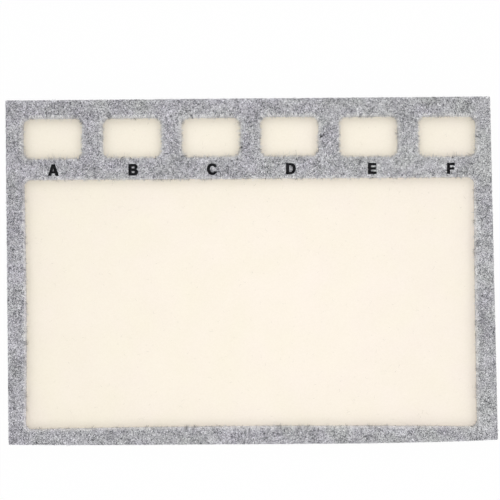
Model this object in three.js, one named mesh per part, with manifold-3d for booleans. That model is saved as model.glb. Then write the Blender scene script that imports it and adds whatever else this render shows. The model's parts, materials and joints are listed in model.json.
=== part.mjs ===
// Bead mat: a die-cut felt frame glued over a soft bead pad, on a thin felt base.
// The frame's windows make a row of small bead wells behind one wide work well.
// Millimetres, +Z up, +Y to the back. The origin is on the underside, at the middle of the mat.
import * as THREE from 'three';
import { mergeVertices } from 'three/addons/utils/BufferGeometryUtils.js';
import Module from 'manifold-3d';

// The mat's cut size, and the radius left on the corners of its top face
const MAT_WIDTH = 297;
const MAT_DEPTH = 210;
const TOP_CORNER_RADIUS = 0.3;

// Felt left round the wells and between them
const SIDE_MARGIN = 10;
const FRONT_MARGIN = 9.5;
const BACK_MARGIN = 10.5;
const RAIL_WIDTH = 12;
const RIB_WIDTH = 12;

// The wells
const BEAD_WELL_COUNT = 6;
const BEAD_WELL_DEPTH = 25.5;
const WELL_CORNER_RADIUS = 5;

// The layers, from the table up
const BASE_THICKNESS = 1.5;
const PAD_THICKNESS = 1.5;
const FRAME_THICKNESS = 3;
const GLUE_THICKNESS = 0.2;
const LAYER_CLEARANCE = 0.01;

// The glue film stops this far short of every cut edge, so that none shows
const GLUE_SETBACK = 0.5;

// The cutting die presses the frame's top edges over to this radius
const EDGE_ROLL = 0.7;

// Facets: chords in half a rounded corner, and steps round a rolled edge
const HALF_CORNER_CHORDS = 3;
const ROLL_STEPS = 3;

const wasm = await Module();
wasm.setup();

// A rectangle on the mat, grown outwards by an offset on all four sides
function grown(rectangle, offset) {
  return {
    left: rectangle.left - offset,
    right: rectangle.right + offset,
    front: rectangle.front - offset,
    back: rectangle.back + offset,
    radius: rectangle.radius,
  };
}

// Draws a round-cornered rectangle, anticlockwise, into a shape or a hole's path
function roundedRectangle(path, { left, right, front, back, radius }) {
  path.absarc(right - radius, front + radius, radius, -Math.PI / 2, 0);
  path.absarc(right - radius, back - radius, radius, 0, Math.PI / 2);
  path.absarc(left + radius, back - radius, radius, Math.PI / 2, Math.PI);
  path.absarc(left + radius, front + radius, radius, Math.PI, Math.PI * 1.5);
  return path;
}

// The outline that the trimming knife leaves through all the layers
const matOutline = {
  left: -MAT_WIDTH / 2,
  right: MAT_WIDTH / 2,
  front: -MAT_DEPTH / 2,
  back: MAT_DEPTH / 2,
  radius: TOP_CORNER_RADIUS + EDGE_ROLL,
};

// The windows: the bead wells in a row along the back, and the work well in front of their rail
function wellOutlines() {
  const left = matOutline.left + SIDE_MARGIN;
  const right = matOutline.right - SIDE_MARGIN;
  const back = matOutline.back - BACK_MARGIN;
  const beadWellFront = back - BEAD_WELL_DEPTH;
  const ribs = (BEAD_WELL_COUNT - 1) * RIB_WIDTH;
  const beadWellWidth = (right - left - ribs) / BEAD_WELL_COUNT;
  const wells = [];
  for (let i = 0; i < BEAD_WELL_COUNT; i += 1) {
    const wellLeft = left + i * (beadWellWidth + RIB_WIDTH);
    wells.push({
      left: wellLeft,
      right: wellLeft + beadWellWidth,
      front: beadWellFront,
      back,
      radius: WELL_CORNER_RADIUS,
    });
  }
  wells.push({
    left,
    right,
    front: matOutline.front + FRONT_MARGIN,
    back: beadWellFront - RAIL_WIDTH,
    radius: WELL_CORNER_RADIUS,
  });
  return wells;
}

// A flat shape with round-cornered windows
function sheetShape(outline, windows) {
  const shape = roundedRectangle(new THREE.Shape(), outline);
  shape.holes = windows.map((well) => roundedRectangle(new THREE.Path(), well));
  return shape;
}

// A plain layer, cut square through its thickness
function cutSheet(outline, windows, thickness) {
  return new THREE.ExtrudeGeometry(sheetShape(outline, windows), {
    depth: thickness,
    curveSegments: HALF_CORNER_CHORDS,
    bevelEnabled: false,
  });
}

// A closed solid from a geometry, for cutting
function solidOf(geometry) {
  const bare = geometry.clone();
  bare.deleteAttribute('normal');
  bare.deleteAttribute('uv');
  const merged = mergeVertices(bare);
  return new wasm.Manifold(new wasm.Mesh({
    numProp: 3,
    vertProperties: new Float32Array(merged.attributes.position.array),
    triVerts: new Uint32Array(merged.index.array),
  }));
}

// A geometry from a cut solid
function geometryOf(solid) {
  const mesh = solid.getMesh();
  const geometry = new THREE.BufferGeometry();
  geometry.setAttribute('position', new THREE.BufferAttribute(mesh.vertProperties, 3));
  geometry.setIndex(new THREE.BufferAttribute(mesh.triVerts, 1));
  geometry.computeVertexNormals();
  return geometry;
}

// The felt frame: every top edge, round the mat and round each window, rolls over to the cut.
// The blank is rolled above and below, and its lower roll is then sliced off flat.
function rolledFrame() {
  const blank = new THREE.ExtrudeGeometry(sheetShape(matOutline, wellOutlines()), {
    depth: FRAME_THICKNESS,
    curveSegments: HALF_CORNER_CHORDS,
    bevelThickness: EDGE_ROLL,
    bevelSize: EDGE_ROLL,
    bevelOffset: -EDGE_ROLL,
    bevelSegments: ROLL_STEPS,
  });
  const slice = new THREE.BoxGeometry(MAT_WIDTH * 2, MAT_DEPTH * 2, EDGE_ROLL * 2);
  const frame = geometryOf(solidOf(blank).subtract(solidOf(slice)));
  return frame.translate(0, 0, -EDGE_ROLL);
}

function felt(colour) {
  return new THREE.MeshStandardMaterial({ color: colour, roughness: 0.95, metalness: 0 });
}

const glueOutline = grown(matOutline, -GLUE_SETBACK);
const glueWindows = wellOutlines().map((well) => ({
  ...grown(well, GLUE_SETBACK),
  radius: well.radius + GLUE_SETBACK,
}));
const glueMaterial = new THREE.MeshStandardMaterial({ color: 0xe6e2d6, roughness: 0.5, metalness: 0 });

const layers = [
  {
    name: 'felt_base',
    thickness: BASE_THICKNESS,
    geometry: cutSheet(matOutline, [], BASE_THICKNESS),
    material: felt(0xa9a9ad),
  },
  {
    name: 'base_glue_film',
    thickness: GLUE_THICKNESS,
    geometry: cutSheet(glueOutline, [], GLUE_THICKNESS),
    material: glueMaterial,
  },
  {
    name: 'bead_pad',
    thickness: PAD_THICKNESS,
    geometry: cutSheet(matOutline, [], PAD_THICKNESS),
    material: felt(0xf8efdf),
  },
  {
    name: 'frame_glue_film',
    thickness: GLUE_THICKNESS,
    geometry: cutSheet(glueOutline, glueWindows, GLUE_THICKNESS),
    material: glueMaterial.clone(),
  },
  {
    name: 'felt_frame',
    thickness: FRAME_THICKNESS,
    geometry: rolledFrame(),
    material: felt(0xa9a9ad),
  },
];

// The layers are stacked face to face, from the table up
const beadMat = new THREE.Group();
let level = 0;
for (const layer of layers) {
  const mesh = new THREE.Mesh(layer.geometry, layer.material);
  mesh.name = layer.name;
  mesh.position.z = level;
  beadMat.add(mesh);
  level += layer.thickness + LAYER_CLEARANCE;
}

export default beadMat;
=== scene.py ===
import json
import math

import bpy
import numpy as np
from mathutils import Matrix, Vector, noise
from mathutils.geometry import delaunay_2d_cdt


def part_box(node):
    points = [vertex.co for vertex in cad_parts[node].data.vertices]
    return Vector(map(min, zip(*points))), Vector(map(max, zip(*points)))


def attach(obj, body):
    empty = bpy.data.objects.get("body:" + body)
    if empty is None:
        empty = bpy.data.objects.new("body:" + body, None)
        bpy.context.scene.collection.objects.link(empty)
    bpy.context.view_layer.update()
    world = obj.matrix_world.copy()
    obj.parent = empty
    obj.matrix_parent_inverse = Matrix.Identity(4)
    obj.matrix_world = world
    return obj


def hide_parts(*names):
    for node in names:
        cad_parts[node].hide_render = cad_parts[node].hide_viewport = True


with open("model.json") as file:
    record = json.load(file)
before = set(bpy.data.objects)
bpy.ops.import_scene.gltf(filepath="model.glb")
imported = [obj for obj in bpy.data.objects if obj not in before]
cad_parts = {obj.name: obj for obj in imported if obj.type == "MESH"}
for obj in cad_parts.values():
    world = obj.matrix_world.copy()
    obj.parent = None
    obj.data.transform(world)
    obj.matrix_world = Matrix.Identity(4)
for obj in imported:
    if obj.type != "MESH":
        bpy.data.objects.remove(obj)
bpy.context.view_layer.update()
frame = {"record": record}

# Felt base
# The bottom layer: thin grey marl felt, needled from light and dark fibres and pressed flat.
# It was trimmed by hand with the layers above it in one knife cut, a little out of square.
MM = 0.001
MAT_LOW, MAT_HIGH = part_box("felt_base")
MAT_SIZE = (MAT_HIGH[0] - MAT_LOW[0], MAT_HIGH[1] - MAT_LOW[1])
CORNER_RADIUS, CORNER_POINTS = 0.6 * MM, 9
EDGE_STEP, EDGE_REACH = 0.45 * MM, 5
LEFT_TRIM_FRONT, LEFT_TRIM_BACK = 0.05 * MM, -0.5 * MM
RIGHT_TRIM_FRONT, RIGHT_TRIM_BACK = 1.85 * MM, -1.55 * MM
BACK_TRIM_LEFT, BACK_TRIM_RIGHT = 0.0 * MM, 0.55 * MM
FRONT_TRIM, FRONT_BOW, FRONT_BOW_REACH = -0.3 * MM, 0.6 * MM, 0.12
FRONT_LIFT, FRONT_LIFT_FROM, FRONT_LIFT_BEND = 1.8 * MM, 0.55, 3.4
SLOW_TUFT_MM, SLOW_TUFT_SHARE = 6.0, 0.6
QUICK_TUFT_MM, QUICK_TUFT_SHARE, QUICK_TUFT_SEED = 1.1, 0.9, 50
BASE_RAG, BASE_ROUND, EASED_STEPS = 0.10 * MM, 0.25 * MM, 4
BASE_POINT_SPACING, POINT_CLEARANCE, POINT_JITTER = 4.0 * MM, 2.0 * MM, 0.3
NO_POINTS = np.zeros((0, 2))
FILL_INSIDE, SAME_POINT = 1, 1e-9

FELT_FIBRE_LENGTH, FELT_FIBRE_WIDTH = 2.0 * MM, 0.19 * MM
FELT_LAYERS, FELT_TURN = 7, math.radians(137.5)
FELT_CURL, FELT_CURLS_PER_METRE = 2.2 * MM, 700.0
GRAINS_PER_METRE, TUFTS_PER_METRE, PATCHES_PER_METRE, DYES_PER_METRE = 3200.0, 420.0, 100.0, 75.0
TUFT_TWIST = 0.8
FELT_TONE, FIBRE_TONE, GRAIN_TONE, TUFT_TONE, PATCH_TONE = 0.518, 0.52, 1.18, 0.72, 0.60
# Painted light: the cut tone paints cut walls and rolled edges paler, as if lit, and the rightward tone
# paints the felt paler towards the right.
CUT_PAINTED_LIGHT_TONE, RIGHTWARD_PAINTED_LIGHT_TONE = 0.31, 0.09
DYE_SPREAD, RIGHTWARD_DYE = 2.2, -1.5
FACE_NORMAL, CUT_NORMAL = 0.95, 0.30
UNDERSIDE_NORMAL, UNDERCUT_NORMAL = -0.95, -0.80
FELT_DARK = (0.055, 0.055, 0.061, 1)
FELT_GREY = (0.355, 0.354, 0.374, 1)
FELT_PALE = (0.810, 0.805, 0.820, 1)
GREENISH_TINT, BLUISH_TINT = (0.985, 1.0, 0.975, 1), (1.0, 0.985, 1.035, 1)
FIBRE_HEIGHT, TUFT_HEIGHT = 0.6, 0.6
FELT_BUMP, FELT_BUMP_DEPTH = 0.55, 0.20 * MM


def trimmed(points):
    """Moves points of the square mat to where the hand-held knife left them."""
    u, v = ((points - np.array(MAT_LOW[:2])) / np.array(MAT_SIZE)).T
    left = LEFT_TRIM_FRONT + (LEFT_TRIM_BACK - LEFT_TRIM_FRONT) * v
    right = RIGHT_TRIM_FRONT + (RIGHT_TRIM_BACK - RIGHT_TRIM_FRONT) * v
    back = BACK_TRIM_LEFT + (BACK_TRIM_RIGHT - BACK_TRIM_LEFT) * u
    bow = FRONT_BOW * (1 - np.exp(-np.clip(u, 0, None) / FRONT_BOW_REACH))
    lift = np.clip((u - FRONT_LIFT_FROM) / (1 - FRONT_LIFT_FROM), 0, None)
    front = FRONT_TRIM - bow + FRONT_LIFT * lift**FRONT_LIFT_BEND
    return points + np.stack([left + (right - left) * u, front + (back - front) * v], axis=1)


def evenly(points, step, count=None):
    """A closed line again, with points about step apart, or with the given number of points."""
    closed = np.vstack([points, points[:1]])
    along = np.concatenate([[0], np.cumsum(np.linalg.norm(np.diff(closed, axis=0), axis=1))])
    at = np.linspace(0, along[-1], count or round(along[-1] / step), endpoint=False)
    return np.stack([np.interp(at, along, closed[:, k]) for k in range(2)], axis=1)


def rounded_loop(left, right, front, back, radius, count=None):
    """A round-cornered rectangle as a closed line of points, anticlockwise."""
    points = []
    for x, y, quarter in (
        (right - radius, front + radius, 3),
        (right - radius, back - radius, 0),
        (left + radius, back - radius, 1),
        (left + radius, front + radius, 2),
    ):
        for angle in np.linspace(quarter, quarter + 1, CORNER_POINTS) * math.pi / 2:
            points.append((x + radius * math.cos(angle), y + radius * math.sin(angle)))
    return evenly(np.array(points), EDGE_STEP, count)


def outward(loop, reach=1):
    """Unit vectors square to an anticlockwise loop, pointing out, judged over reach steps each way."""
    along = np.roll(loop, -reach, axis=0) - np.roll(loop, reach, axis=0)
    along /= np.linalg.norm(along, axis=1)[:, None]
    return np.stack([along[:, 1], -along[:, 0]], axis=1)


def ragged(loop, depth, seed):
    """A cut edge that wanders by about depth, in tufts of two sizes, as felt leaves a blade."""
    wander = []
    for x, y in loop:
        place = Vector((x, y, 0)) / MM
        slow = noise.noise(place / SLOW_TUFT_MM + Vector((0, 0, seed)))
        quick = noise.noise(place / QUICK_TUFT_MM + Vector((0, 0, seed + QUICK_TUFT_SEED)))
        wander.append(SLOW_TUFT_SHARE * slow + QUICK_TUFT_SHARE * quick)
    return loop + outward(loop) * (depth * np.array(wander))[:, None]


def inside(points, loop):
    """Which of the points lie inside a closed loop."""
    x, y = points.T
    odd = np.zeros(len(points), bool)
    for (ax, ay), (bx, by) in zip(loop, np.roll(loop, -1, axis=0)):
        if ay != by:
            odd ^= ((ay > y) != (by > y)) & (x < (bx - ax) * (y - ay) / (by - ay) + ax)
    return odd


def filled(loops, extra):
    """Triangles, anticlockwise, that fill the first loop less the others and use the extra points."""
    points = np.vstack([*loops, extra])
    owner = np.full(len(points), -1)
    edges, start = [], 0
    for number, loop in enumerate(loops):
        count = len(loop)
        edges += [(start + i, start + (i + 1) % count) for i in range(count)]
        owner[start:start + count] = number
        start += count
    made = delaunay_2d_cdt([Vector(point) for point in points], edges, [], FILL_INSIDE, SAME_POINT)
    made_faces, made_from = made[2], made[3]
    source = np.array([ids[0] for ids in made_from])
    faces = source[np.array(made_faces)]
    for number, loop in enumerate(loops[1:], start=1):
        within = (owner[faces] == number).all(axis=1)
        within[within] = inside(points[faces[within]].mean(axis=1), loop)
        faces = faces[~within]
    a, b, c = (points[faces[:, k]] for k in range(3))
    turn = (b - a)[:, 0] * (c - a)[:, 1] - (b - a)[:, 1] * (c - a)[:, 0]
    faces[turn < 0] = faces[turn < 0][:, ::-1]
    return faces


def scattered(spacing, windows, clear, seed):
    """Points spread evenly over the trimmed mat, clear of its edge and of the windows."""
    rng = np.random.default_rng(seed)
    x = np.arange(MAT_LOW[0] + clear, MAT_HIGH[0] - clear, spacing)
    y = np.arange(MAT_LOW[1] + clear, MAT_HIGH[1] - clear, spacing)
    points = np.stack(np.meshgrid(x, y), axis=-1).reshape(-1, 2)
    points = trimmed(points + rng.uniform(-POINT_JITTER, POINT_JITTER, points.shape) * spacing)
    for loop in windows:
        low, high = loop.min(axis=0) - clear, loop.max(axis=0) + clear
        points = points[~((points > low) & (points < high)).all(axis=1)]
    return points


def cut_sheet(name, edges, points=NO_POINTS, relief=None, under=NO_POINTS):
    """A closed sheet. edges gives the foot, the rim and the rings of its outline, then of each window.
    A ring has its share of the way from foot to rim, how far it is drawn in, and its height, from the
    underside up. points are spread over the top and under over the underside. relief lifts the top."""
    verts, faces, lower, upper = [], [], [], []
    for number, (foot, rim, rings) in enumerate(edges):
        inward = -outward(rim, EDGE_REACH) if number == 0 else outward(rim, EDGE_REACH)
        count, start = len(rim), len(verts)
        for share, inset, height in rings:
            ring = foot + (rim - foot) * share + inward * inset
            verts += [(x, y, height) for x, y in ring]
        lower.append(np.arange(start, start + count))
        upper.append(lower[-1] + count * (len(rings) - 1))
        for k in range(len(rings) - 1):
            for i in range(count):
                a, b = start + k * count + i, start + k * count + (i + 1) % count
                quad = (a, b, b + count, a + count)
                faces.append(quad if number == 0 else quad[::-1])
    first_point, top_height, low_height = len(verts), rings[-1][2], rings[0][2]
    first_under = first_point + len(points)
    verts += [(x, y, top_height) for x, y in points]
    verts += [(x, y, low_height) for x, y in under]
    verts = np.array(verts)
    ids = np.concatenate([*upper, np.arange(first_point, first_under)])
    top = ids[filled([verts[loop, :2] for loop in upper], points)]
    ids = np.concatenate([*lower, np.arange(first_under, len(verts))])
    bottom = ids[filled([verts[loop, :2] for loop in lower], under)][:, ::-1]
    if relief:
        lift = np.array([relief(x, y) for x, y in verts[:, :2]])
        verts[:, 2] += lift * (verts[:, 2] - low_height) / (top_height - low_height)
    mesh = bpy.data.meshes.new(name)
    mesh.from_pydata(verts.tolist(), [], faces + top.tolist() + bottom.tolist())
    mesh.shade_smooth()
    piece = bpy.data.objects.new(name, mesh)
    bpy.context.scene.collection.objects.link(piece)
    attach(piece, "root")
    return piece


def eased_rings(low, high, radius):
    """The rings of a square-cut edge with its lower and upper corners eased to a radius."""
    turns = np.linspace(0, math.pi / 2, EASED_STEPS + 1)
    bottom = [(1, radius * (1 - math.sin(t)), low + radius * (1 - math.cos(t))) for t in turns]
    return bottom + [(1, inset, high + low - height) for _, inset, height in reversed(bottom)]


def material_with(name, **constants):
    """A new material, its nodes and its shader, with the constants on the shader's own sockets."""
    material = bpy.data.materials.new(name)
    material.use_nodes = True
    shader = material.node_tree.nodes["Principled BSDF"]
    for socket, value in constants.items():
        shader.inputs[socket.replace("_", " ")].default_value = value
    return material, material.node_tree, shader


def node(tree, kind, sockets=None, **settings):
    """A shader node: its sockets are set to a value, or linked from another node's output."""
    made = tree.nodes.new("ShaderNode" + kind)
    for setting, value in settings.items():
        setattr(made, setting, value)
    for socket, value in (sockets or {}).items():
        if isinstance(value, bpy.types.NodeSocket):
            tree.links.new(value, made.inputs[socket])
        else:
            made.inputs[socket].default_value = value
    return made


def sum_of(tree, start, *terms):
    """start plus each output times its weight."""
    total = start
    for output, weight in terms:
        total = node(tree, "Math", {0: output, 1: weight, 2: total}, operation="MULTIPLY_ADD").outputs[0]
    return total


def speckle(tree, place, per_metre, detail=2.0, rough=0.6, twist=0.0):
    """Smooth noise round zero, in grains of which about per_metre lie along a metre."""
    grains = node(
        tree, "TexNoise",
        {"Vector": place, "Scale": per_metre, "Detail": detail, "Roughness": rough, "Distortion": twist})
    return sum_of(tree, -0.5, (grains.outputs["Fac"], 1.0))


def clumps(tree, place, per_metre):
    """Patches with a value of their own each, round zero, like knots of fibre of one colour."""
    cells = node(tree, "TexVoronoi", {"Vector": place, "Scale": per_metre, "Randomness": 1.0})
    value = node(tree, "SeparateColor", {0: cells.outputs["Color"]}).outputs[0]
    return sum_of(tree, -0.5, (value, 1.0))


def colour_mix(tree, factor, first, second, **settings):
    """A blend from one colour to another, made on the node's colour sockets, 6, 7 and 2."""
    mixed = node(tree, "Mix", {"Factor": factor, 6: first, 7: second}, data_type="RGBA", **settings)
    return mixed.outputs[2]


def colour_ramp(tree, tone, dark, middle, pale):
    """A colour for each tone from 0, dark, to 1, pale."""
    ramp = node(tree, "ValToRGB", {"Fac": tone})
    ramp.color_ramp.elements[0].color = dark
    ramp.color_ramp.elements[1].color = pale
    ramp.color_ramp.elements.new(0.5).color = middle
    return ramp.outputs["Color"]


def set_bump(tree, shader, height, strength, depth):
    """Roughens a shader's surface by a height."""
    bump = node(tree, "Bump", {"Height": height, "Strength": strength, "Distance": depth})
    tree.links.new(bump.outputs["Normal"], shader.inputs["Normal"])


def crossing_fibres(tree, place):
    """Fibres that lie across each other in every direction, each with a tone of its own round zero.
    Gives that tone, and the height of the fibre's round back."""
    tone, height = 0.0, 0.0
    for layer in range(FELT_LAYERS):
        along = node(
            tree, "Mapping",
            {"Vector": place, "Rotation": (0, 0, layer * FELT_TURN),
             "Scale": (FELT_FIBRE_LENGTH, FELT_FIBRE_WIDTH, FELT_FIBRE_WIDTH)},
            vector_type="TEXTURE").outputs[0]
        fibre = node(tree, "TexVoronoi", {"Vector": along, "Scale": 1.0, "Randomness": 1.0})
        own = node(tree, "SeparateColor", {0: fibre.outputs["Color"]})
        hidden_share = layer / (layer + 1)
        on_top = node(
            tree, "Math", {0: own.outputs[1], 1: hidden_share}, operation="GREATER_THAN").outputs[0]
        back = sum_of(tree, 1.0, (fibre.outputs["Distance"], -1.0))
        tone = node(tree, "Mix", {"Factor": on_top, 2: tone, 3: own.outputs[0]}).outputs[0]
        height = node(tree, "Mix", {"Factor": on_top, 2: height, 3: back}).outputs[0]
    return sum_of(tree, -0.5, (tone, 1.0)), height


def painted_light_on_cuts(tree):
    """1 on a cut edge and 0 on the felt's two flat faces, by the way that the surface faces. It masks the
    painted light that makes cut felt paler.
    """
    facing = node(tree, "SeparateXYZ", {0: node(tree, "NewGeometry").outputs["Normal"]}).outputs["Z"]
    off_top = node(
        tree, "MapRange",
        {"Value": facing, "From Min": CUT_NORMAL, "From Max": FACE_NORMAL, "To Min": 1.0, "To Max": 0.0},
        interpolation_type="SMOOTHSTEP").outputs[0]
    off_underside = node(
        tree, "MapRange", {"Value": facing, "From Min": UNDERSIDE_NORMAL, "From Max": UNDERCUT_NORMAL},
        interpolation_type="SMOOTHSTEP").outputs[0]
    return node(tree, "Math", {0: off_top, 1: off_underside}, operation="MULTIPLY").outputs[0]


def marl_felt(name, seed):
    """Grey marl felt: pale and dark fibres mixed unevenly, in tufts and patches, and painted light makes it
    paler where it is cut.
    Painted light also makes it slightly paler towards the right, where it is less blue."""
    material, tree, shader = material_with(
        name, Roughness=0.95, Specular_IOR_Level=0.15, Sheen_Weight=0.08, Sheen_Roughness=0.6)
    where = node(tree, "TexCoord").outputs["Object"]
    aside = node(tree, "SeparateXYZ", {0: where}).outputs["X"]
    place = node(tree, "VectorMath", {0: where, 1: (seed, 2 * seed, 0)}, operation="ADD").outputs[0]
    curl = node(tree, "TexNoise", {"Vector": place, "Scale": FELT_CURLS_PER_METRE, "Detail": 1.0})
    curled = node(
        tree, "VectorMath", {0: curl.outputs["Color"], 1: (FELT_CURL, FELT_CURL, FELT_CURL), 2: place},
        operation="MULTIPLY_ADD").outputs[0]
    fibres, backs = crossing_fibres(tree, curled)
    grains = clumps(tree, curled, GRAINS_PER_METRE)
    tufts = speckle(tree, place, TUFTS_PER_METRE, detail=1.0, twist=TUFT_TWIST)
    patches = speckle(tree, place, PATCHES_PER_METRE)
    # The cut and rightward terms are painted light, not the felt's own tone.
    tone = sum_of(
        tree, FELT_TONE, (fibres, FIBRE_TONE), (grains, GRAIN_TONE), (tufts, TUFT_TONE),
        (patches, PATCH_TONE), (painted_light_on_cuts(tree), CUT_PAINTED_LIGHT_TONE), (aside, RIGHTWARD_PAINTED_LIGHT_TONE))
    grey = colour_ramp(tree, tone, FELT_DARK, FELT_GREY, FELT_PALE)
    dyes = speckle(tree, place, DYES_PER_METRE, detail=1.0)
    dye = sum_of(tree, 0.5, (dyes, DYE_SPREAD), (aside, RIGHTWARD_DYE))
    tint = colour_mix(tree, dye, GREENISH_TINT, BLUISH_TINT)
    tree.links.new(colour_mix(tree, 1.0, grey, tint, blend_type="MULTIPLY"), shader.inputs["Base Color"])
    height = sum_of(tree, 0.0, (backs, FIBRE_HEIGHT), (tufts, TUFT_HEIGHT))
    set_bump(tree, shader, height, FELT_BUMP, FELT_BUMP_DEPTH)
    return material


mat_outline = rounded_loop(MAT_LOW[0], MAT_HIGH[0], MAT_LOW[1], MAT_HIGH[1], CORNER_RADIUS)
knife_cut = evenly(trimmed(mat_outline), EDGE_STEP)
base_edge = ragged(knife_cut, BASE_RAG, seed=1.0)
base_points = scattered(BASE_POINT_SPACING, [], POINT_CLEARANCE, seed=11)
felt_base = cut_sheet(
    "felt_base_sheet", [(base_edge, base_edge, eased_rings(MAT_LOW[2], MAT_HIGH[2], BASE_ROUND))],
    base_points, under=base_points)
felt_base.data.materials.append(marl_felt("base_felt", seed=0.7))
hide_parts("felt_base")

# Glue films
# Two milky hot-melt films, ironed between the layers. Each stops just short of the cut edges,
# and the upper one has the frame's windows, so no glue shows in the wells.
GLUE_SETBACK, GLUE_EDGE_STEP = 0.5 * MM, 4 * EDGE_STEP
GLUE_DULL, GLUE_MILKY = (0.72, 0.69, 0.60, 1), (0.84, 0.82, 0.74, 1)
GLUE_CLOUDS_PER_METRE = 160.0
GLUE_BUMP, GLUE_BUMP_DEPTH = 0.3, 0.05 * MM
BEAD_WELL_RADIUS, WORK_WELL_RADIUS = 4.7 * MM, 4.1 * MM
WELL_BOX_CLEARANCE = 1.6 * MM
WELL_DRIFT_MM = {
    "bead_well_a": (-0.7, 0.0, -0.15, -0.2),
    "bead_well_b": (-0.05, 0.45, 0.3, -0.25),
    "bead_well_c": (0.15, 0.6, 0.45, -0.25),
    "bead_well_d": (0.2, 0.25, 0.5, 0.1),
    "bead_well_e": (0.4, 0.7, -0.05, -0.2),
    "bead_well_f": (0.5, 0.3, -0.3, -0.4),
    "work_well": (-0.4, -0.2, -1.3, -0.3),
}
STRAIGHT = (0.0, 0.0, 0.0, 0.0)
WELL_BOW_MM = {"work_well": (0.8, -0.3, 1.2, 0.0)}
WELL_RIGHT_TURN_MM = {"work_well": 0.5}


def milky_glue():
    """Hot-melt film: milky, faintly cloudy, with a soft shine."""
    material, tree, shader = material_with("hot_melt_film", Roughness=0.45)
    where = node(tree, "TexCoord").outputs["Object"]
    clouds = node(
        tree, "TexNoise", {"Vector": where, "Scale": GLUE_CLOUDS_PER_METRE, "Detail": 3.0}).outputs["Fac"]
    tree.links.new(colour_mix(tree, clouds, GLUE_DULL, GLUE_MILKY), shader.inputs["Base Color"])
    set_bump(tree, shader, clouds, GLUE_BUMP, GLUE_BUMP_DEPTH)
    return material


def well_loop(well, grow=0.0, count=None):
    """The cut round a well, from the clear box that the record gives it, as far as the die drifted and
    the felt bowed on its left, right, front and back. grow moves the cut out of the well."""
    low, high = well["box_m"]
    shift = [drift * MM for drift in WELL_DRIFT_MM[well["name"]]]
    slack = WELL_BOX_CLEARANCE + grow
    left, right = low[0] + shift[0] - slack, high[0] + shift[1] + slack
    front, back = low[1] + shift[2] - slack, high[1] + shift[3] + slack
    radius = WORK_WELL_RADIUS if well["name"] == "work_well" else BEAD_WELL_RADIUS
    loop = rounded_loop(left, right, front, back, radius, count)
    bow = [rise * MM for rise in WELL_BOW_MM.get(well["name"], STRAIGHT)]
    right_turn = WELL_RIGHT_TURN_MM.get(well["name"], 0.0) * MM
    u, v = ((loop - (left, front)) / (right - left, back - front)).T
    x = 4 * v * (1 - v) * (bow[0] * (1 - u) + bow[1] * u) + right_turn * (1 - 2 * v) * u
    y = 4 * u * (1 - u) * (bow[2] * (1 - v) + bow[3] * v)
    return loop + np.stack([x, y], axis=1)


wells = frame["record"]["physics"]["openings"]
glue_material = milky_glue()
glue_outline = evenly(knife_cut - outward(knife_cut) * GLUE_SETBACK, GLUE_EDGE_STEP)
for film_node, film_windows in (
    ("base_glue_film", []),
    ("frame_glue_film", [well_loop(well, GLUE_SETBACK) for well in wells]),
):
    film_low, film_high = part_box(film_node)
    film_rings = [(1, 0, film_low[2]), (1, 0, film_high[2])]
    film = cut_sheet(
        film_node + "_sheet", [(loop, loop, film_rings) for loop in (glue_outline, *film_windows)])
    film.data.materials.append(glue_material)
    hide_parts(film_node)

# Bead pad
# The floor of the wells: one close-napped cream sheet under the whole frame, which stops beads rolling.
# The hot press holds it down under the felt, so it swells a little towards the middle of each well.
PAD_RAG, PAD_ROUND = 0.06 * MM, 0.2 * MM
PAD_POINT_SPACING = 2.0 * MM
PAD_SWELL, PAD_SWELL_REACH = 0.20 * MM, 9.0 * MM
NAP_PER_METRE, CLOUDS_PER_METRE, PAD_DYES_PER_METRE, SPECKS_PER_METRE = 1500.0, 45.0, 38.0, 130.0
# The back tone is painted light: it paints the floors of the bead wells paler, against the shade of their
# walls.
NAP_TONE, CLOUD_TONE, BACK_PAINTED_LIGHT_TONE = 0.45, 0.6, 0.28
BACK_FROM, BACK_TO = 45 * MM, 75 * MM
PAD_DYE_SPREAD, PAD_RIGHTWARD_DYE, BACK_DYE = 1.6, 2.0, -0.5
PAD_DEEP, PAD_PALE = (0.895, 0.818, 0.705, 1), (0.945, 0.872, 0.765, 1)
PAD_GREENISH, PAD_BLUISH = (0.998, 1.008, 0.985, 1), (1.004, 0.998, 1.018, 1)
SPECK_COLOUR, SPECK_STRENGTH = (0.50, 0.45, 0.37, 1), 0.10
SPECK_CORE, SPECK_EDGE = 0.04, 0.10
NAP_BUMPS_PER_METRE, NAP_BUMP, NAP_BUMP_DEPTH = 1700.0, 0.3, 0.12 * MM


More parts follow.
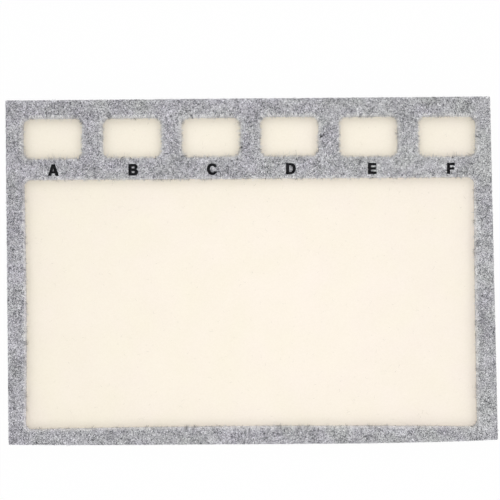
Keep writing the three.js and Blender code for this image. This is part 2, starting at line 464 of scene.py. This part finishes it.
def napped_pad():
    """Cream napped cloth: nearly even, with a fine nap, faint clouds and scattered pin-prick specks.
    Painted light makes it a touch paler along the back, under the bead wells, and it is bluer to the right."""
    material, tree, shader = material_with(
        "cream_nap", Roughness=0.95, Specular_IOR_Level=0.12, Sheen_Weight=0.06, Sheen_Roughness=0.7)
    where = node(tree, "TexCoord").outputs["Object"]
    spot = node(tree, "SeparateXYZ", {0: where})
    # at_back carries the painted light along the back, and a greener tint there.
    at_back = node(
        tree, "MapRange",
        {"Value": spot.outputs["Y"], "From Min": BACK_FROM, "From Max": BACK_TO}).outputs[0]
    nap = clumps(tree, where, NAP_PER_METRE)
    clouds = speckle(tree, where, CLOUDS_PER_METRE, rough=0.5)
    tone = sum_of(tree, 0.5, (nap, NAP_TONE), (clouds, CLOUD_TONE), (at_back, BACK_PAINTED_LIGHT_TONE))
    cream = colour_mix(tree, tone, PAD_DEEP, PAD_PALE)
    dyes = speckle(tree, where, PAD_DYES_PER_METRE, detail=1.0)
    dye = sum_of(
        tree, 0.5, (spot.outputs["X"], PAD_RIGHTWARD_DYE), (at_back, BACK_DYE), (dyes, PAD_DYE_SPREAD))
    tint = colour_mix(tree, dye, PAD_GREENISH, PAD_BLUISH)
    tinted = colour_mix(tree, 1.0, cream, tint, blend_type="MULTIPLY")
    dots = node(tree, "TexVoronoi", {"Vector": where, "Scale": SPECKS_PER_METRE, "Randomness": 1.0})
    speck = node(
        tree, "MapRange",
        {"Value": dots.outputs["Distance"], "From Min": SPECK_CORE, "From Max": SPECK_EDGE,
         "To Min": SPECK_STRENGTH, "To Max": 0.0}).outputs[0]
    tree.links.new(colour_mix(tree, speck, tinted, SPECK_COLOUR), shader.inputs["Base Color"])
    height = speckle(tree, where, NAP_BUMPS_PER_METRE, detail=3.0, rough=0.7)
    set_bump(tree, shader, height, NAP_BUMP, NAP_BUMP_DEPTH)
    return material


def pad_swell(x, y):
    """How far the pad rises at a point: not at all under the felt, and slowly from the walls of a well."""
    for loop in well_rims:
        (left, front), (right, back) = loop.min(axis=0), loop.max(axis=0)
        reach = min(x - left, right - x, y - front, back - y) / PAD_SWELL_REACH
        if reach > 0:
            rise = min(reach, 1.0)
            return PAD_SWELL * rise * rise * (3 - 2 * rise)
    return 0.0


well_rims = [well_loop(well) for well in wells]
pad_low, pad_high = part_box("bead_pad")
pad_edge = ragged(knife_cut, PAD_RAG, seed=2.0)
bead_pad = cut_sheet(
    "bead_pad_sheet", [(pad_edge, pad_edge, eased_rings(pad_low[2], pad_high[2], PAD_ROUND))],
    scattered(PAD_POINT_SPACING, [], POINT_CLEARANCE, seed=12), pad_swell)
bead_pad.data.materials.append(napped_pad())
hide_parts("bead_pad")

# Felt frame
# One piece of thicker grey marl felt, die-cut with a row of six bead wells and the wide work well.
# The die drags its top edges over and leaves the walls sloping a little into the wells, soft and ragged.
WALL_SLOPE, WALL_STEPS = 0.15 * MM, 4
FRAME_ROLL, WELL_ROLL, ROLL_STEPS = 0.7 * MM, 1.0 * MM, 5
FRAME_RAG, BEAD_WELL_RAG, WORK_WELL_RAG = 0.18 * MM, 0.45 * MM, 0.15 * MM
RAIL_RAG, RAIL_RAG_REACH = 0.60 * MM, 8.0 * MM
FOOT_RAG_SHARE = 0.35
FRAME_POINT_SPACING, FRAME_POINT_CLEARANCE = 0.9 * MM, 2.6 * MM
FRAME_RELIEF = 0.05 * MM
LUMP_MM, LUMP_SHARE, LUMP_SEED = 1.6, 0.6, 7
SWELL_MM, SWELL_SEED = 9.0, 27
WELL_SEED = 10.0


def frame_relief(x, y):
    """How the felt's face rises and falls: small lumps on slow swells."""
    place = Vector((x, y, 0)) / MM
    lumps = noise.noise(place / LUMP_MM + Vector((0, 0, LUMP_SEED)))
    swells = noise.noise(place / SWELL_MM + Vector((0, 0, SWELL_SEED)))
    return FRAME_RELIEF * (LUMP_SHARE * lumps + swells)


def rolled_rings(low, high, roll):
    """The rings of a cut wall whose top edge is rolled over to a radius."""
    shares = np.linspace(0, 1, WALL_STEPS + 1)[:-1]
    turns = np.linspace(0, math.pi / 2, ROLL_STEPS + 1)
    wall = [(share, 0.0, low + share * (high - roll - low)) for share in shares]
    return wall + [(1, roll * (1 - math.cos(t)), high - roll * (1 - math.sin(t))) for t in turns]


frame_low, frame_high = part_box("felt_frame")
frame_edge = ragged(knife_cut, FRAME_RAG, seed=4.0)
frame_edges = [(frame_edge, frame_edge, rolled_rings(frame_low[2], frame_high[2], FRAME_ROLL))]
rail_front = well_rims[-1][:, 1].max()
for number, (well, rim) in enumerate(zip(wells, well_rims)):
    foot = well_loop(well, -WALL_SLOPE, len(rim))
    rag = BEAD_WELL_RAG
    if well["name"] == "work_well":
        rag = np.interp(rim[:, 1], (rail_front - RAIL_RAG_REACH, rail_front), (WORK_WELL_RAG, RAIL_RAG))
    frame_edges.append((
        ragged(foot, FOOT_RAG_SHARE * rag, WELL_SEED + number), ragged(rim, rag, WELL_SEED + number),
        rolled_rings(frame_low[2], frame_high[2], WELL_ROLL)))
felt_frame = cut_sheet(
    "felt_frame_sheet", frame_edges,
    scattered(FRAME_POINT_SPACING, well_rims, FRAME_POINT_CLEARANCE, seed=13), frame_relief)
felt_frame.data.materials.append(marl_felt("frame_felt", seed=0.2))
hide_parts("felt_frame")

# Letters
# Six plain capitals that tell the bead wells apart, one in front of each. They are thin black film,
# cut out, laid by hand and pressed into the felt with heat, so their edges take its roughness.
LETTER_STEM_MM, LETTER_BAR_MM = 1.95, 1.6
LETTER_BASELINE = 58.65 * MM
FIRST_LETTER, LETTER_PITCH = -119.8 * MM, 48.45 * MM
LETTER_DRIFT_MM = {
    "A": (0.0, 0.0),
    "B": (0.3, -0.1),
    "C": (-0.25, 0.0),
    "D": (-0.5, 0.0),
    "E": (0.6, -0.2),
    "F": (0.1, -0.4),
}
LETTER_RAG, LETTER_STEP, LETTER_SEED = 0.07 * MM, 0.2 * MM, 30.0
LETTER_SUNK, LETTER_EDGE, LETTER_TOP, LETTER_EASE = -0.15 * MM, 0.05 * MM, 0.09 * MM, 0.04 * MM
ARC_POINTS = 14
FILM_GRAIN_PER_METRE, FILM_BUMP, FILM_BUMP_DEPTH = 1300.0, 0.5, 0.15 * MM
FILM_BLACK, FILM_BLACK_TO = (0.004, 0.004, 0.005, 1), 0.45
FILM_GREY, FILM_GREY_FROM = (0.035, 0.035, 0.038, 1), 0.85


def arc(x, y, wide, high, start, end):
    """Points along part of an ellipse, from one angle to another in degrees."""
    angles = np.radians(np.linspace(start, end, ARC_POINTS))
    return [(x + wide * math.cos(a), y + high * math.sin(a)) for a in angles]


def letter_shapes():
    """Each capital as its outline and its counters, in millimetres from its lower left corner."""
    stem, bar = LETTER_STEM_MM, LETTER_BAR_MM
    return {
        "A": ([(0, 0), (2.0, 0), (2.5, 1.5), (4.2, 1.5), (4.7, 0), (6.7, 0), (4.45, 7.15), (2.25, 7.15)],
              [[(2.9, 2.9), (3.8, 2.9), (3.35, 4.45)]]),
        "B": ([(0, 0), *arc(3.7, 2.05, 2.2, 2.05, -90, 60), *arc(3.6, 5.35, 1.95, 1.8, -60, 90), (0, 7.15)],
              [[(stem, bar), *arc(3.35, 2.15, 0.5, 0.55, -90, 90), (stem, 2.7)],
               [(stem, 4.5), *arc(3.2, 5.0, 0.45, 0.5, -90, 90), (stem, 5.5)]]),
        "C": ([*arc(3.35, 3.5, 3.35, 3.65, 26, 334), *arc(3.45, 3.5, 1.45, 1.95, 322, 38)], []),
        "D": ([(0, 0), *arc(2.6, 3.5, 3.5, 3.5, -90, 90), (0, 7.0)],
              [[(stem, bar), *arc(2.6, 3.5, 1.5, 1.9, -90, 90), (stem, 5.4)]]),
        "E": ([(0, 0), (5.35, 0), (5.35, bar), (stem, bar), (stem, 2.7), (5.0, 2.7), (5.0, 4.2), (stem, 4.2),
               (stem, 5.3), (5.2, 5.3), (5.2, 6.85), (0, 6.85)], []),
        "F": ([(0, 0), (stem, 0), (stem, 2.55), (4.4, 2.55), (4.4, 4.05), (stem, 4.05),
               (stem, 5.3), (4.9, 5.3), (4.9, 6.85), (0, 6.85)], []),
    }


def pressed_film():
    """Black heat-pressed film: matt, with the felt's grain showing through it."""
    material, tree, shader = material_with("black_film", Roughness=0.8, Specular_IOR_Level=0.1)
    where = node(tree, "TexCoord").outputs["Object"]
    grain = node(
        tree, "TexNoise", {"Vector": where, "Scale": FILM_GRAIN_PER_METRE, "Detail": 2.0}).outputs["Fac"]
    ramp = node(tree, "ValToRGB", {"Fac": grain})
    black, grey = ramp.color_ramp.elements
    black.position, black.color = FILM_BLACK_TO, FILM_BLACK
    grey.position, grey.color = FILM_GREY_FROM, FILM_GREY
    tree.links.new(ramp.outputs["Color"], shader.inputs["Base Color"])
    set_bump(tree, shader, grain, FILM_BUMP, FILM_BUMP_DEPTH)
    return material


black_film = pressed_film()
letter_rings = [
    (1, 0, frame_high[2] + LETTER_SUNK),
    (1, 0, frame_high[2] + LETTER_EDGE),
    (1, LETTER_EASE, frame_high[2] + LETTER_TOP),
]
letter_outlines = []
for number, (letter, (outline, counters)) in enumerate(letter_shapes().items()):
    width = max(x for x, y in outline) * MM
    aside, above = (drift * MM for drift in LETTER_DRIFT_MM[letter])
    corner = np.array((FIRST_LETTER + number * LETTER_PITCH - width / 2 + aside, LETTER_BASELINE + above))
    cuts = [
        ragged(evenly(np.array(points) * MM + corner, LETTER_STEP), LETTER_RAG, LETTER_SEED + number)
        for points in (outline, *counters)]
    capital = cut_sheet(
        "letter_" + letter.lower(), [(loop, loop, letter_rings) for loop in cuts], relief=frame_relief)
    capital.data.materials.append(black_film)
    letter_outlines.append(cuts[0])

# Fibres of the cut edges
# Felt sheds where it is cut: fibre ends stand out of its walls in tufts, and the die drags others
# over the wells' rolled edges. They are fine closed strands of the felt's own pale, grey and dark fibre.
FIBRE_SIDES = 3
STRAND_ALONG, STRAND_TAPER = (0, 0.25, 0.75, 1), (0.6, 1, 1, 0.4)
STRAND_ASIDE = (0.31, 0.17, 0.93)
BAKE_LEFT, BAKE_WIDTH, BAKE_SIDE = 0.01, 0.95, 0.01
BAKE_LOW, BAKE_HIGH = 0.02, 0.98
FIBRE_UNEVEN_PER_METRE, FIBRE_UNEVEN = 900.0, 0.25
GREY_FIBRE = ((0.03, 0.03, 0.033, 1), (0.42, 0.42, 0.435, 1), (0.87, 0.865, 0.86, 1))
FIBRES_PER_TUFT, TUFT_SPREAD = 12, 0.18
TUFT_SHADE_SPREAD, FIBRE_SHADE_SPREAD = 0.34, 0.08
OUTLINE_FUZZ_PER_MM, OUTLINE_FUZZ_SHADE, OUTLINE_FUZZ_LENGTH_MM = 3.0, 0.72, (0.4, 1.3)
BEAD_WELL_FUZZ_PER_MM, BEAD_WELL_FUZZ_SHADE = 12.0, 0.86
WORK_WELL_FUZZ_PER_MM, WORK_WELL_FUZZ_SHADE = 8.0, 0.60
WELL_FUZZ_LENGTH_MM, FUZZ_LENGTH_VARIES, FUZZ_RADIUS_MM = (0.6, 2.2), (0.5, 1.2), (0.03, 0.06)
FUZZ_SPAN, FUZZ_TOP_GAP, FUZZ_PAD_GAP = 0.95, 0.15 * MM, 0.1 * MM
FUZZ_ROOT, FUZZ_STEPS, FUZZ_CURL = 0.35 * MM, 2, 0.3
FUZZ_TUFT_TURN, FUZZ_TURN = 0.6, 0.35
FUZZ_RISE, FUZZ_RISE_SPREAD = -0.1, 0.3
STRAY_SHARE, FRONT_WALL_STRAY_SHARE, STRAY_STRETCH = 0.04, 0.20, 2.0
BEAD_WELL_DRAG_PER_MM, WORK_WELL_DRAG_PER_MM, DRAG_SHADE = 9.0, 3.0, 0.92
DRAG_BACK_MM, DRAG_OVER_MM, DRAG_FALL_MM = (-0.2, 0.8), (0.2, 1.4), (-0.5, 0.7)
DRAG_STOPS, DRAG_LIFT, DRAG_WOBBLE = (0.55, 0.15), 0.05 * MM, 0.05 * MM
DRAG_TUFT_SLANT, DRAG_SLANT, DRAG_RADIUS_MM = 0.45, 0.3, (0.04, 0.08)


def curled_paths(rng, starts, headings, lengths, steps, curl):
    """Flat curled lines from each start, as points of x and y."""
    angles = headings[:, None] + rng.normal(0, curl, (len(starts), steps)).cumsum(axis=1)
    moves = np.stack([np.cos(angles), np.sin(angles)], axis=-1) * (lengths / steps)[:, None, None]
    return np.concatenate([starts[:, None], starts[:, None] + moves.cumsum(axis=1)], axis=1)


def strand_mesh(name, paths, radii, shades, material):
    """One closed, tapering strand along each path, with the strand's shade kept on its points.
    The map for baking lays strands of like shade side by side."""
    count, stops = paths.shape[:2]
    along = np.gradient(paths, axis=1)
    along /= np.linalg.norm(along, axis=2, keepdims=True)
    side = np.cross(along, np.array(STRAND_ASIDE))
    side /= np.linalg.norm(side, axis=2, keepdims=True)
    other = np.cross(along, side)
    taper = np.interp(np.linspace(0, 1, stops), STRAND_ALONG, STRAND_TAPER)
    turns = np.arange(FIBRE_SIDES) * 2 * math.pi / FIBRE_SIDES
    spokes = side[:, :, None] * np.cos(turns)[:, None] + other[:, :, None] * np.sin(turns)[:, None]
    verts = paths[:, :, None] + spokes * (radii[:, None] * taper)[:, :, None, None]
    ring = np.arange(FIBRE_SIDES)
    after = np.roll(ring, -1)
    band = np.stack([ring, after, after + FIBRE_SIDES, ring + FIBRE_SIDES], axis=1)
    bands = np.concatenate([band + k * FIBRE_SIDES for k in range(stops - 1)])
    first = np.arange(count)[:, None] * stops * FIBRE_SIDES
    sides = (bands[None] + first[:, :, None]).reshape(-1, 4)
    caps = np.concatenate([ring[::-1] + first, ring + (stops - 1) * FIBRE_SIDES + first])
    mesh = bpy.data.meshes.new(name)
    mesh.from_pydata(verts.reshape(-1, 3).tolist(), [], sides.tolist() + caps.tolist())
    shade = mesh.attributes.new("shade", "FLOAT", "POINT")
    shade.data.foreach_set("value", np.repeat(shades, stops * FIBRE_SIDES))
    across = BAKE_LEFT + BAKE_WIDTH * shades[:, None, None] + BAKE_SIDE * ring
    up = np.broadcast_to(np.linspace(BAKE_LOW, BAKE_HIGH, stops)[:, None], (count, stops, FIBRE_SIDES))
    places = np.stack([np.broadcast_to(across, up.shape), up], axis=-1).reshape(-1, 2)
    corners = np.empty(len(mesh.loops), np.int32)
    mesh.loops.foreach_get("vertex_index", corners)
    mesh.uv_layers.new(name="OFBake").data.foreach_set("uv", places[corners].ravel())
    mesh.shade_smooth()
    mesh.materials.append(material)
    piece = bpy.data.objects.new(name, mesh)
    bpy.context.scene.collection.objects.link(piece)
    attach(piece, "root")
    return piece


def fibre_material(name, dark, middle, pale):
    """Fibre: coloured by the strand's own shade, a little uneven along its length."""
    material, tree, shader = material_with(name, Roughness=0.8, Specular_IOR_Level=0.2)
    shade = node(tree, "Attribute", attribute_name="shade").outputs["Fac"]
    where = node(tree, "TexCoord").outputs["Object"]
    tone = sum_of(tree, shade, (speckle(tree, where, FIBRE_UNEVEN_PER_METRE), FIBRE_UNEVEN))
    tree.links.new(colour_ramp(tree, tone, dark, middle, pale), shader.inputs["Base Color"])
    return material


def tufted(rng, rim, per_mm):
    """Where fibres leave a cut edge, in tufts: the place of each along the edge, and the tuft it is in."""
    count = round(len(rim) * EDGE_STEP / MM * per_mm)
    tufts = round(count / FIBRES_PER_TUFT)
    tuft = rng.integers(0, tufts, count)
    at = (tuft + 0.5 + rng.normal(0, TUFT_SPREAD, count)) / tufts * len(rim)
    return at.astype(int) % len(rim), tuft, tufts


def tuft_shades(rng, tuft, tufts, shade):
    """The shades of fibres in tufts, round a middle shade."""
    tuft_shade = rng.normal(shade, TUFT_SHADE_SPREAD, tufts)
    return np.clip(tuft_shade[tuft] + rng.normal(0, FIBRE_SHADE_SPREAD, len(tuft)), 0, 1)


def round_roll(distance, roll):
    """On an edge rolled to a radius, the drop below the face at a distance in from the cut, or that
    distance at a drop."""
    short = 1 - np.clip(distance / roll, 0, 1)
    return roll * (1 - np.sqrt(1 - short**2))


def wall_fibres(rng, edge, per_mm, length, shade, strays):
    """Fibre ends that stand out of a cut wall and its rolled top at every height. Where strays is 1 some
    are long, most of them on walls that face the back."""
    foot, rim, away, roll = edge
    at, tuft, tufts = tufted(rng, rim, per_mm)
    count = len(at)
    share = 1 - FUZZ_SPAN * rng.random(count)
    levels = frame_low[2] + (frame_high[2] - FUZZ_TOP_GAP - frame_low[2]) * share
    root = FUZZ_ROOT + round_roll(frame_high[2] - levels, roll)
    starts = foot[at] + (rim - foot)[at] * share[:, None] - away[at] * root[:, None]
    turns = np.arctan2(away[at, 1], away[at, 0])
    turns += rng.normal(0, FUZZ_TUFT_TURN, tufts)[tuft]
    turns += rng.normal(0, FUZZ_TURN, count)
    lengths = rng.uniform(*length, tufts)[tuft] * rng.uniform(*FUZZ_LENGTH_VARIES, count) * MM
    stray_share = strays * (STRAY_SHARE + FRONT_WALL_STRAY_SHARE * np.clip(away[at, 1], 0, 1))
    lengths[rng.random(count) < stray_share] *= STRAY_STRETCH
    flat = curled_paths(rng, starts, turns, lengths, FUZZ_STEPS, FUZZ_CURL)
    rise = rng.normal(FUZZ_RISE, FUZZ_RISE_SPREAD, count) * lengths
    levels = levels[:, None] + rise[:, None] * np.linspace(0, 1, FUZZ_STEPS + 1)
    levels = np.maximum(levels, pad_high[2] + FUZZ_PAD_GAP)
    return np.dstack([flat, levels]), tuft_shades(rng, tuft, tufts, shade)


def dragged_fibres(rng, edge, per_mm):
    """Fibres that the die dragged from the felt's face over the rolled edge and out past the cut."""
    foot, rim, away, roll = edge
    at, tuft, tufts = tufted(rng, rim, per_mm)
    count = len(at)
    slant = rng.normal(0, DRAG_TUFT_SLANT, tufts)[tuft] + rng.normal(0, DRAG_SLANT, count)
    across = away[at]
    heading = across + slant[:, None] * np.stack([-across[:, 1], across[:, 0]], axis=1)
    on_face = roll + rng.uniform(*DRAG_BACK_MM, count) * MM
    past = -rng.uniform(*DRAG_OVER_MM, count) * MM
    inset = np.stack([on_face, *(np.full(count, stop * roll) for stop in DRAG_STOPS), past], axis=1)
    drop = round_roll(inset, roll) - DRAG_LIFT
    drop[:, -1] += rng.uniform(*DRAG_FALL_MM, count) * MM
    wobble = rng.normal(0, DRAG_WOBBLE, (*inset.shape, 2))
    flat = rim[at][:, None] - heading[:, None] * inset[:, :, None] + wobble
    return np.dstack([flat, frame_high[2] - drop]), tuft_shades(rng, tuft, tufts, DRAG_SHADE)


rng = np.random.default_rng(21)
grey_fibre = fibre_material("grey_fibre", *GREY_FIBRE)
outline_edges = [(frame_edge, frame_edge, outward(frame_edge, EDGE_REACH), FRAME_ROLL)]
well_edges = [(foot, rim, -outward(rim, EDGE_REACH), WELL_ROLL) for foot, rim, rings in frame_edges[1:]]
for piece_name, cut_edges, per_mm, length, shade, strays in (
    ("outline_fuzz", outline_edges, OUTLINE_FUZZ_PER_MM, OUTLINE_FUZZ_LENGTH_MM, OUTLINE_FUZZ_SHADE, 0),
    ("bead_well_fuzz", well_edges[:-1], BEAD_WELL_FUZZ_PER_MM, WELL_FUZZ_LENGTH_MM, BEAD_WELL_FUZZ_SHADE, 1),
    ("work_well_fuzz", well_edges[-1:], WORK_WELL_FUZZ_PER_MM, WELL_FUZZ_LENGTH_MM, WORK_WELL_FUZZ_SHADE, 0),
):
    bunches = [wall_fibres(rng, edge, per_mm, length, shade, strays) for edge in cut_edges]
    paths, shades = (np.concatenate(values) for values in zip(*bunches))
    radii = rng.uniform(*FUZZ_RADIUS_MM, len(paths)) * MM
    strand_mesh(piece_name, paths, radii, shades, grey_fibre)

for piece_name, cut_edges, per_mm in (
    ("bead_well_drag", well_edges[:-1], BEAD_WELL_DRAG_PER_MM),
    ("work_well_drag", well_edges[-1:], WORK_WELL_DRAG_PER_MM),
):
    bunches = [dragged_fibres(rng, edge, per_mm) for edge in cut_edges]
    paths, shades = (np.concatenate(values) for values in zip(*bunches))
    radii = rng.uniform(*DRAG_RADIUS_MM, len(paths)) * MM
    strand_mesh(piece_name, paths, radii, shades, grey_fibre)

# Fibres on the face
# Stray fibres, half of them pale and half dark, that lie curled all over the felt frame's face.
# Each arches a little, with its ends sunk in the felt, and starts clear of the letters and the wells.
FACE_FIBRES, FACE_FIBRE_STEPS, FACE_FIBRE_CURL = 6000, 4, 0.3
FACE_FIBRE_LENGTH_MM, FACE_FIBRE_RADIUS_MM = (0.8, 3.0), (0.03, 0.06)
FACE_ARCH_MM, FACE_ARCH_VARIES = (-0.02, 0.06, 0.09, 0.06, -0.02), (0.5, 2.0)
PALE_SHARE, PALE_SHADES, DARK_SHADES = 0.5, (0.75, 1), (0, 0.25)
STREWN_MARGIN, STREWN_CLEARANCE, STREWN_TRIES = 1.5 * MM, 1.0 * MM, 6


def strewn(rng, count, keep_off):
    """Places strewn at random over the trimmed mat, off the given loops' boxes."""
    low, high = np.array(MAT_LOW[:2]) + STREWN_MARGIN, np.array(MAT_HIGH[:2]) - STREWN_MARGIN
    places = trimmed(rng.uniform(low, high, (count * STREWN_TRIES, 2)))
    for loop in keep_off:
        box_low, box_high = loop.min(axis=0) - STREWN_CLEARANCE, loop.max(axis=0) + STREWN_CLEARANCE
        places = places[~((places > box_low) & (places < box_high)).all(axis=1)]
    return places[:count]


face_places = strewn(rng, FACE_FIBRES, well_rims + letter_outlines)
face_count = len(face_places)
face_lengths = rng.uniform(*FACE_FIBRE_LENGTH_MM, face_count) * MM
face_headings = rng.uniform(0, 2 * math.pi, face_count)
face_flat = curled_paths(rng, face_places, face_headings, face_lengths, FACE_FIBRE_STEPS, FACE_FIBRE_CURL)
face_rest = np.array([[frame_relief(x, y) for x, y in line] for line in face_flat])
face_arch = np.array(FACE_ARCH_MM) * MM
face_z = frame_high[2] + face_rest + face_arch * rng.uniform(*FACE_ARCH_VARIES, face_count)[:, None]
face_pale = rng.random(face_count) < PALE_SHARE
face_shades = np.where(
    face_pale, rng.uniform(*PALE_SHADES, face_count), rng.uniform(*DARK_SHADES, face_count))
face_radii = rng.uniform(*FACE_FIBRE_RADIUS_MM, face_count) * MM
strand_mesh("face_fibres", np.dstack([face_flat, face_z]), face_radii, face_shades, grey_fibre)

# Lint on the pad
# Fine cream and brownish fibres, shed by the pad's own nap.
# They lie loose on the floors of the wells, a little off the walls.
LINT_FIBRES, LINT_STEPS, LINT_CURL = 700, 4, 0.4
LINT_LENGTH_MM, LINT_RADIUS_MM, LINT_LIFT = (0.8, 2.6), (0.02, 0.035), 0.02 * MM
LINT_OFF_WALL_SWELL, LINT_TRIES = 0.02 * MM, 2
CREAM_FIBRE = ((0.36, 0.32, 0.26, 1), (0.66, 0.60, 0.50, 1), (0.95, 0.92, 0.86, 1))

lint_places = strewn(rng, LINT_FIBRES * LINT_TRIES, [])
in_well = np.array([pad_swell(x, y) > LINT_OFF_WALL_SWELL for x, y in lint_places])
lint_places = lint_places[in_well][:LINT_FIBRES]
lint_count = len(lint_places)
lint_headings = rng.uniform(0, 2 * math.pi, lint_count)
lint_lengths = rng.uniform(*LINT_LENGTH_MM, lint_count) * MM
lint_flat = curled_paths(rng, lint_places, lint_headings, lint_lengths, LINT_STEPS, LINT_CURL)
lint_z = pad_high[2] + np.array([[pad_swell(x, y) for x, y in line] for line in lint_flat]) + LINT_LIFT
lint_radii = rng.uniform(*LINT_RADIUS_MM, lint_count) * MM
lint_shades = rng.random(lint_count)
cream_fibre = fibre_material("cream_fibre", *CREAM_FIBRE)
strand_mesh("pad_lint", np.dstack([lint_flat, lint_z]), lint_radii, lint_shades, cream_fibre)

# Dark fleck
# A knot of nearly black fibre that was needled into the felt, just right of the fourth bead well.
# It lies slantwise, with a thin tail.
FLECK_PLACE_MM, FLECK_TAIL_MM = (43.4, 81.4), (45.0, 83.2)
FLECK_FIBRES, FLECK_TAIL_FIBRES = 34, 5
FLECK_FIBRE_LENGTH_MM, FLECK_TAIL_LENGTH_MM, FLECK_FIBRE_RADIUS_MM = (0.9, 1.7), 2.7, (0.08, 0.13)
FLECK_SPREAD, FLECK_TURN, FLECK_CURL, FLECK_STEPS = 0.17 * MM, 0.2, 0.15, 4
FLECK_START, FLECK_LIFT_MM, FLECK_SHADE = -0.25, (0.1, 0.4), 0.03

fleck_from, fleck_to = np.array(FLECK_PLACE_MM) * MM, np.array(FLECK_TAIL_MM) * MM
fleck_run = fleck_to - fleck_from
fleck_places = fleck_from + rng.normal(0, FLECK_SPREAD, (FLECK_FIBRES, 2)) + FLECK_START * fleck_run
fleck_headings = math.atan2(fleck_run[1], fleck_run[0]) + rng.normal(0, FLECK_TURN, FLECK_FIBRES)
fleck_lengths = rng.uniform(*FLECK_FIBRE_LENGTH_MM, FLECK_FIBRES) * MM
fleck_lengths[:FLECK_TAIL_FIBRES] = FLECK_TAIL_LENGTH_MM * MM
fleck_flat = curled_paths(rng, fleck_places, fleck_headings, fleck_lengths, FLECK_STEPS, FLECK_CURL)
fleck_z = frame_high[2] + rng.uniform(*FLECK_LIFT_MM, FLECK_FIBRES)[:, None] * MM + face_arch
fleck_radii = rng.uniform(*FLECK_FIBRE_RADIUS_MM, FLECK_FIBRES) * MM
fleck_shades = np.full(FLECK_FIBRES, FLECK_SHADE)
strand_mesh(
    "dark_fleck", np.dstack([fleck_flat, fleck_z]), fleck_radii, fleck_shades, grey_fibre)

# Table, light and camera
# A plain white table in a ring of soft light, bright at the sides, most at the back, and dim overhead,
# where the camera hangs. A weak lamp above the camera lights the middle a little more than the corners.
TABLE_HALF = 2.5
TABLE_COLOUR, TABLE_WHITE = (0.9, 0.9, 0.9, 1), 0.96
WHITE = (1, 1, 1, 1)
SIDE_LIGHT, TOP_LIGHT = 1.478, 0.293
SIDE_LIGHT_TO, TOP_LIGHT_FROM = 0.53, 0.88
BACK_LIGHT = 0.06
LAMP_PLACE = (25 * MM, -20 * MM, 400 * MM)
LAMP_WIDTH, LAMP_POWER = 200 * MM, 0.31
CAMERA_PLACE = (-0.26 * MM, 12.72 * MM, 346.44 * MM)
CAMERA_ROLL, CAMERA_ANGLE = math.radians(-0.386), math.radians(48.285)
CAMERA_CLIP_START = 10 * MM


def seen_directly(tree):
    """1 for what the camera, a gloss or a clear material shows, and 0 for light that only bounces."""
    path = node(tree, "LightPath").outputs
    either = node(
        tree, "Math", {0: path["Is Camera Ray"], 1: path["Is Glossy Ray"]}, operation="MAXIMUM").outputs[0]
    return node(tree, "Math", {0: either, 1: path["Is Transmission Ray"]}, operation="MAXIMUM").outputs[0]


table_mesh = bpy.data.meshes.new("table_top")
table_corners = [(x * TABLE_HALF, y * TABLE_HALF, 0.0) for x, y in ((-1, -1), (1, -1), (1, 1), (-1, 1))]
table_mesh.from_pydata(table_corners, [], [(0, 1, 2, 3)])
table = bpy.data.objects.new("table_top", table_mesh)
bpy.context.scene.collection.objects.link(table)
table_material, table_tree, table_shader = material_with(
    "white_table", Base_Color=TABLE_COLOUR, Roughness=0.9, Specular_IOR_Level=0.1)
white = node(table_tree, "Emission", {"Color": WHITE, "Strength": 1.0})
whiteness = node(table_tree, "Math", {0: seen_directly(table_tree), 1: TABLE_WHITE}, operation="MULTIPLY")
table_mix = node(
    table_tree, "MixShader", {0: whiteness.outputs[0], 1: table_shader.outputs[0], 2: white.outputs[0]})
table_tree.links.new(table_mix.outputs[0], table_tree.nodes["Material Output"].inputs["Surface"])
table_mesh.materials.append(table_material)

room = bpy.data.worlds.new("soft_room")
bpy.context.scene.world = room
room.use_nodes = True
room_tree = room.node_tree
sky = room_tree.nodes["Background"]
sky.inputs["Color"].default_value = WHITE
towards = node(room_tree, "SeparateXYZ", {0: node(room_tree, "TexCoord").outputs["Generated"]})
light_ring = node(
    room_tree, "MapRange",
    {"Value": towards.outputs["Z"], "From Min": SIDE_LIGHT_TO, "From Max": TOP_LIGHT_FROM,
     "To Min": SIDE_LIGHT, "To Max": TOP_LIGHT},
    interpolation_type="SMOOTHSTEP")
from_back = sum_of(room_tree, 1.0, (towards.outputs["Y"], BACK_LIGHT))
soft_light = node(room_tree, "Math", {0: light_ring.outputs[0], 1: from_back}, operation="MULTIPLY")
sky_strength = node(
    room_tree, "MapRange",
    {"Value": seen_directly(room_tree), "To Min": soft_light.outputs[0], "To Max": 1.0})
room_tree.links.new(sky_strength.outputs[0], sky.inputs["Strength"])

lamp_data = bpy.data.lights.new("camera_lamp", "AREA")
lamp_data.shape = "DISK"
lamp_data.size = LAMP_WIDTH
lamp_data.energy = LAMP_POWER
lamp = bpy.data.objects.new("camera_lamp", lamp_data)
lamp.location = LAMP_PLACE
bpy.context.scene.collection.objects.link(lamp)

camera_data = bpy.data.cameras.new("photo_camera")
camera_data.angle = CAMERA_ANGLE
camera_data.clip_start = CAMERA_CLIP_START
camera = bpy.data.objects.new("photo_camera", camera_data)
camera.location = CAMERA_PLACE
camera.rotation_euler = (0, 0, CAMERA_ROLL)
bpy.context.scene.collection.objects.link(camera)
bpy.context.scene.camera = camera
bpy.context.scene.view_settings.view_transform = "Standard"
